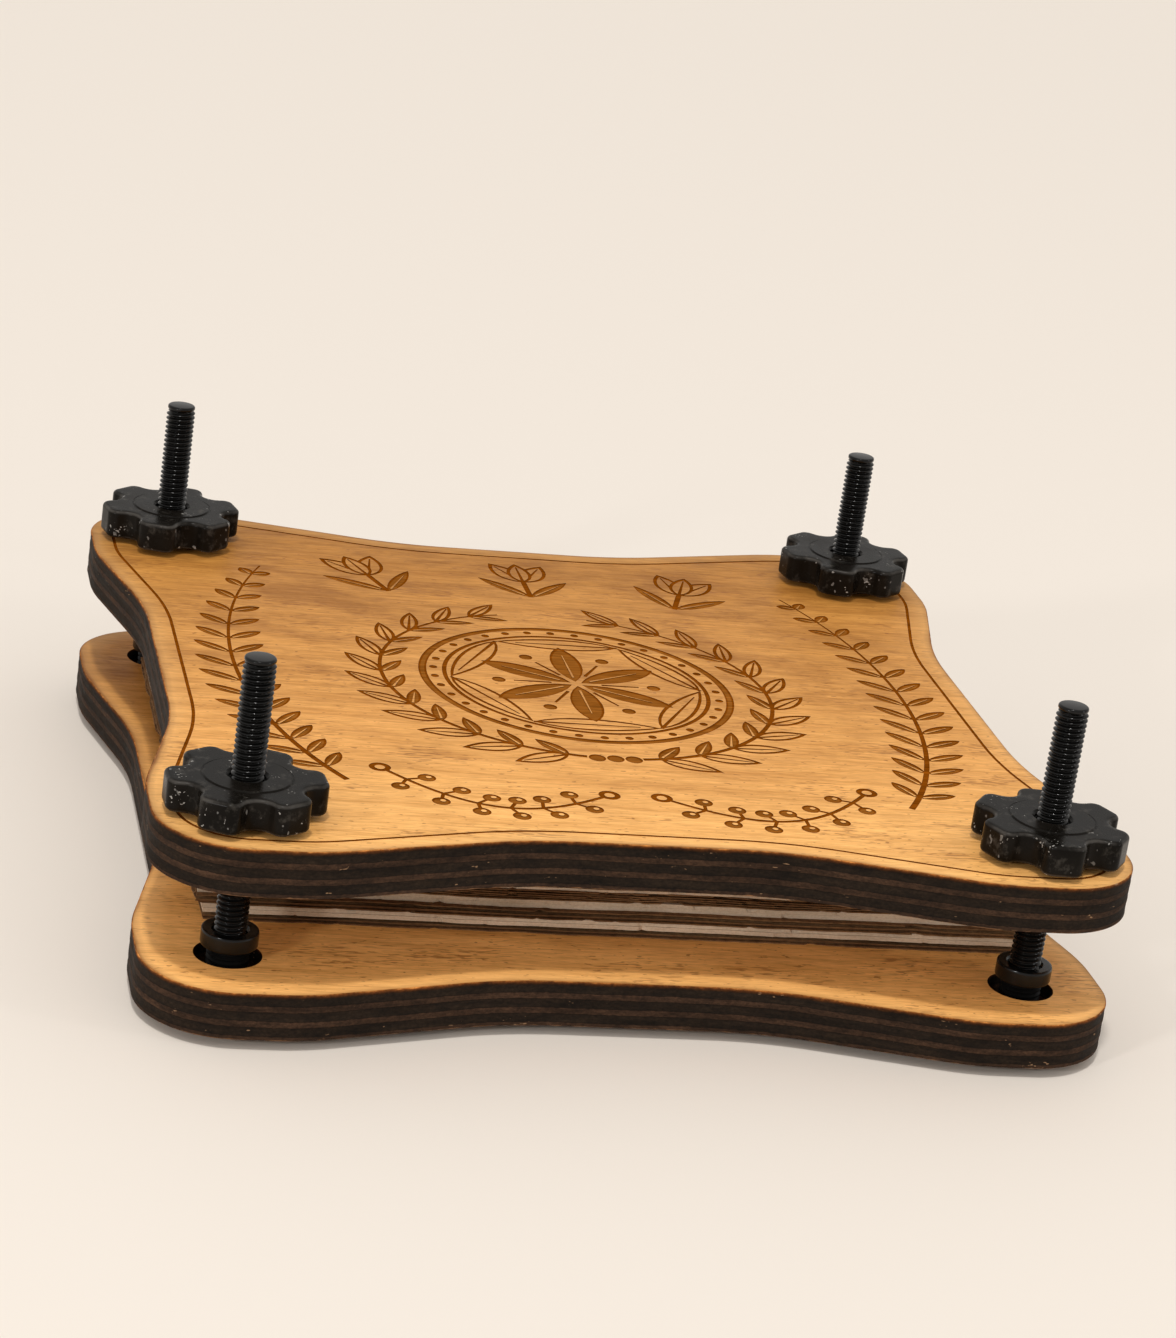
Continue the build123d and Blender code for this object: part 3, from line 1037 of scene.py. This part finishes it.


# Star knobs. Six-lobed hand knobs, moulded in black plastic over a threaded steel bush and spun down the
# posts onto the upper board. Their edges carry pale nicks from handling and a paler band of painted
# highlight.
knob_low, knob_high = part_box("star_knob_front_left")
knob_turns = {"front_left": 3, "front_right": 24, "back_left": 12, "back_right": 8}
lobe_count = 6
knob_radius = 14.6 * mm
valley_radius = 3.0 * mm
valley_distance = 14.1 * mm
lobe_rounding = 2.3 * mm
knob_rounding = 0.8 * mm
knob_standoff = 1.1 * mm
star_step = 0.4 * mm
shelf_inset = 1.5 * mm
hub_radius = 8.0 * mm
hub_step = 0.2 * mm
hub_edge = 0.2 * mm
hub_groove = ((0.35 * mm, 0.0), (0.25 * mm, -0.08 * mm), (0.1 * mm, -0.08 * mm), (0.0, 0.06 * mm))
hub_slant = 0.12 * mm
lobe_bottom = upper_high.z + knob_standoff
lobe_top = knob_high.z - hub_step
knob_bore = 3.4 * mm
bore_edge = 0.5 * mm
bush_fit = 0.02 * mm
bush_seat = 4.5 * mm + bush_fit
bush_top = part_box("knob_bush_front_left")[1].z + bush_fit
edge_wear_and_highlight_width = 1.3 * mm


def star_line(centre, turn):
    """The knob's outline: lobes on one circle, round valleys between them and rounded shoulders."""
    reach = knob_radius - lobe_rounding
    apart = valley_radius + lobe_rounding
    spread = math.acos((reach**2 + valley_distance**2 - apart**2) / (2 * reach * valley_distance))
    meet = math.atan2(reach * math.sin(spread), valley_distance - reach * math.cos(spread))
    line = []
    for valley in range(lobe_count):
        axis = turn + (valley + 0.5) * 2 * math.pi / lobe_count
        first = centre + Matrix.Rotation(axis - spread, 2) @ Vector((reach, 0))
        bottom = centre + Matrix.Rotation(axis, 2) @ Vector((valley_distance, 0))
        second = centre + Matrix.Rotation(axis + spread, 2) @ Vector((reach, 0))
        for middle, radius, start, end in (
            (first, lobe_rounding, -spread, meet),
            (bottom, valley_radius, math.pi + meet, math.pi - meet),
            (second, lobe_rounding, -meet, spread),
        ):
            for share in range(13):
                angle = axis + start + (end - start) * share / 12
                line.append(middle + Vector((math.cos(angle), math.sin(angle))) * radius)
    return evenly(line, star_step)


def moulded_plastic(name):
    """Satin black plastic with a faint bloom of dust, pale nicks along its edges, and edges paled as painted
    highlight.
    """
    edge_highlight_grey, dust_grey, speck_grey, chip_grey = (
        (0.105, 0.096, 0.086), (0.17, 0.152, 0.13), (0.42, 0.4, 0.37), (0.5, 0.48, 0.45),
    )
    material, place = new_material(name)
    dust = grain(place, (150, 150, 150), 4, 0.62)
    pores = grain(place, (1500, 1500, 1500), 2, 0.5)
    nicks = grain(place, (900, 900, 700), 1, 0.4)
    worn = painted(material, "worn")
    colour = ramp(dust, [(0.35, (0.0048, 0.004, 0.0031)), (0.7, (0.0105, 0.0086, 0.0068))])
    # Painted highlight: the plastic is paled close to its edges, standing in for light caught on the rounded
    # edges. The nicks below are real wear.
    edge = ramp(worn, [(0.5, 0.0), (0.74, 0.55)])
    painted_edge_highlight = times(edge, ramp(dust, [(0.36, 0.1), (0.62, 1.0)]))
    colour = mixed("MIX", painted_edge_highlight, colour, edge_highlight_grey)
    smear = grain(place, (330, 330, 330), 5, 0.7)
    colour = mixed("MIX", ramp(smear, [(0.55, 0.0), (0.74, 0.26)]), colour, dust_grey)
    specks = grain(place, (1800, 1800, 1800), 1, 0.4)
    specks = times(specks, grain(place, (210, 210, 210), 2))
    colour = mixed("MIX", ramp(specks, [(0.44, 0.0), (0.475, 0.75)]), colour, speck_grey)
    chips = times(worn, ramp(nicks, [(0.715, 0.0), (0.745, 1.0)]))
    colour = mixed("MIX", chips, colour, chip_grey)
    rough = ramp(dust, [(0.35, 0.2), (0.65, 0.33)])
    return surface(material, colour, rough, 0.062, pores, 0.12, 0.05 * mm)


knob_plastic = moulded_plastic("black knob plastic")
bush_steel = black_oxide("black oxide bush", 0.4, 0.2)
quarter = [math.pi / 2 * share / 5 for share in range(6)]
profile = [(1 - math.sin(a), lobe_bottom + knob_rounding * (1 - math.cos(a))) for a in quarter]
profile += [(0, lobe_bottom + knob_rounding * 1.2), (0, lobe_top - knob_rounding * 1.2)]
profile += [(1 - math.cos(a), lobe_top - knob_rounding * (1 - math.sin(a))) for a in quarter]
hub = [(hub_radius + out, lobe_top + rise) for out, rise in hub_groove]
hub += [
    (hub_radius - hub_slant, knob_high.z), (knob_bore + bore_edge, knob_high.z),
    (knob_bore, knob_high.z - bore_edge), (knob_bore, bush_top), (bush_seat, bush_top),
    (bush_seat, knob_low.z), (hub_radius - hub_edge, knob_low.z),
    (hub_radius, knob_low.z + hub_edge), (hub_radius, lobe_bottom),
]
for corner, place in post_places.items():
    star = star_line(place.xy, math.radians(knob_turns[corner]))
    mesh = bmesh.new()
    lines = [inset(star, knob_rounding * share) for share, _ in profile]
    rows = [row(mesh, line, height) for line, (_, height) in zip(lines, profile)]
    for lower, upper in zip(rows, rows[1:]):
        strip(mesh, lower, upper, 0)
    shelf = inset(star, shelf_inset)
    flat(mesh, lines[-1], [shelf], lobe_top, 0)
    flat(mesh, shelf, [ring(place, hub[0][0])], lobe_top, 0)
    lathe(mesh, place, hub)
    flat(mesh, lines[0], [ring(place, hub_radius)], lobe_bottom, 0, up=False)
    knob = object_from(mesh, "knob_" + corner + "_dressed", [knob_plastic])
    # How near each vertex lies to an edge of a lobe, for the painted edge highlight and the real nicks.
    edges = [(point.x, point.y, height) for point in star for height in (lobe_top, lobe_bottom)]
    paint_near(knob, "worn", edges, edge_wear_and_highlight_width)
    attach(knob, "knob_" + corner)
    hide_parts("star_knob_" + corner)
    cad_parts["knob_bush_" + corner].material_slots[0].material = bush_steel


# Stage. A pale plain floor under an even bright room, a high window, a small lamp at each side of the front,
# and a camera where the photograph was taken from.
floor_size = 6.0
lamp_size = 0.11
lamps = {"left lamp": (3.4, Vector((-0.9, -0.82, 0.42))), "right lamp": (1.3, Vector((1.05, -0.5, 0.42)))}
window_place = Vector((-0.14, -0.26, 1.0))
photo_height = 1338
focal_pixels = 3706
view_elevation, view_azimuth, view_roll = math.radians(19.6), math.radians(-13.94), math.radians(8.21)
view_distance = 0.739
view_target = Vector((0.0019, 0.0, 0.0418))


def hang(name, kind, place):
    """The light of a new lamp that shines from a place towards the middle of the scene."""
    light = bpy.data.lights.new(name, kind)
    stand = bpy.data.objects.new(name, light)
    stand.location = place
    stand.rotation_euler = place.to_track_quat("Z", "Y").to_euler()
    bpy.context.scene.collection.objects.link(stand)
    return light


mesh = bmesh.new()
bmesh.ops.create_grid(mesh, x_segments=1, y_segments=1, size=floor_size)
floor_material, _ = new_material("pale floor")
paint = {"Base Color": (0.86, 0.79, 0.715, 1), "Roughness": 0.7}
feed(floor_material.node_tree.nodes["Principled BSDF"], paint)
floor = object_from(mesh, "floor", [floor_material])
floor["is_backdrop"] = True

world = bpy.data.worlds.new("studio")
bpy.context.scene.world = world
world.use_nodes = True
room = {"Color": (1.0, 0.97, 0.93, 1), "Strength": 0.67}
feed(world.node_tree.nodes["Background"], room)
sun = hang("high window", "SUN", window_place)
sun.energy = 1.08
sun.angle = math.radians(4)
sun.color = (1.0, 0.98, 0.95)
for name, (energy, place) in lamps.items():
    lamp = hang(name, "AREA", place)
    lamp.size = lamp_size
    lamp.energy = energy

camera_data = bpy.data.cameras.new("photo camera")
camera_data.sensor_fit = "VERTICAL"
camera_data.sensor_height = 24.0
camera_data.lens = camera_data.sensor_height * focal_pixels / photo_height
camera_data.clip_end = 50.0
camera = bpy.data.objects.new("photo camera", camera_data)
facing = Matrix.Rotation(view_azimuth, 4, "Z") @ Matrix.Rotation(math.pi / 2 - view_elevation, 4, "X")
facing = facing @ Matrix.Rotation(view_roll, 4, "Z")
camera.matrix_world = Matrix.Translation(view_target) @ facing @ Matrix.Translation((0, 0, view_distance))
bpy.context.scene.collection.objects.link(camera)
bpy.context.scene.camera = camera
bpy.context.scene.view_settings.view_transform = "Standard"

low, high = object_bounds()
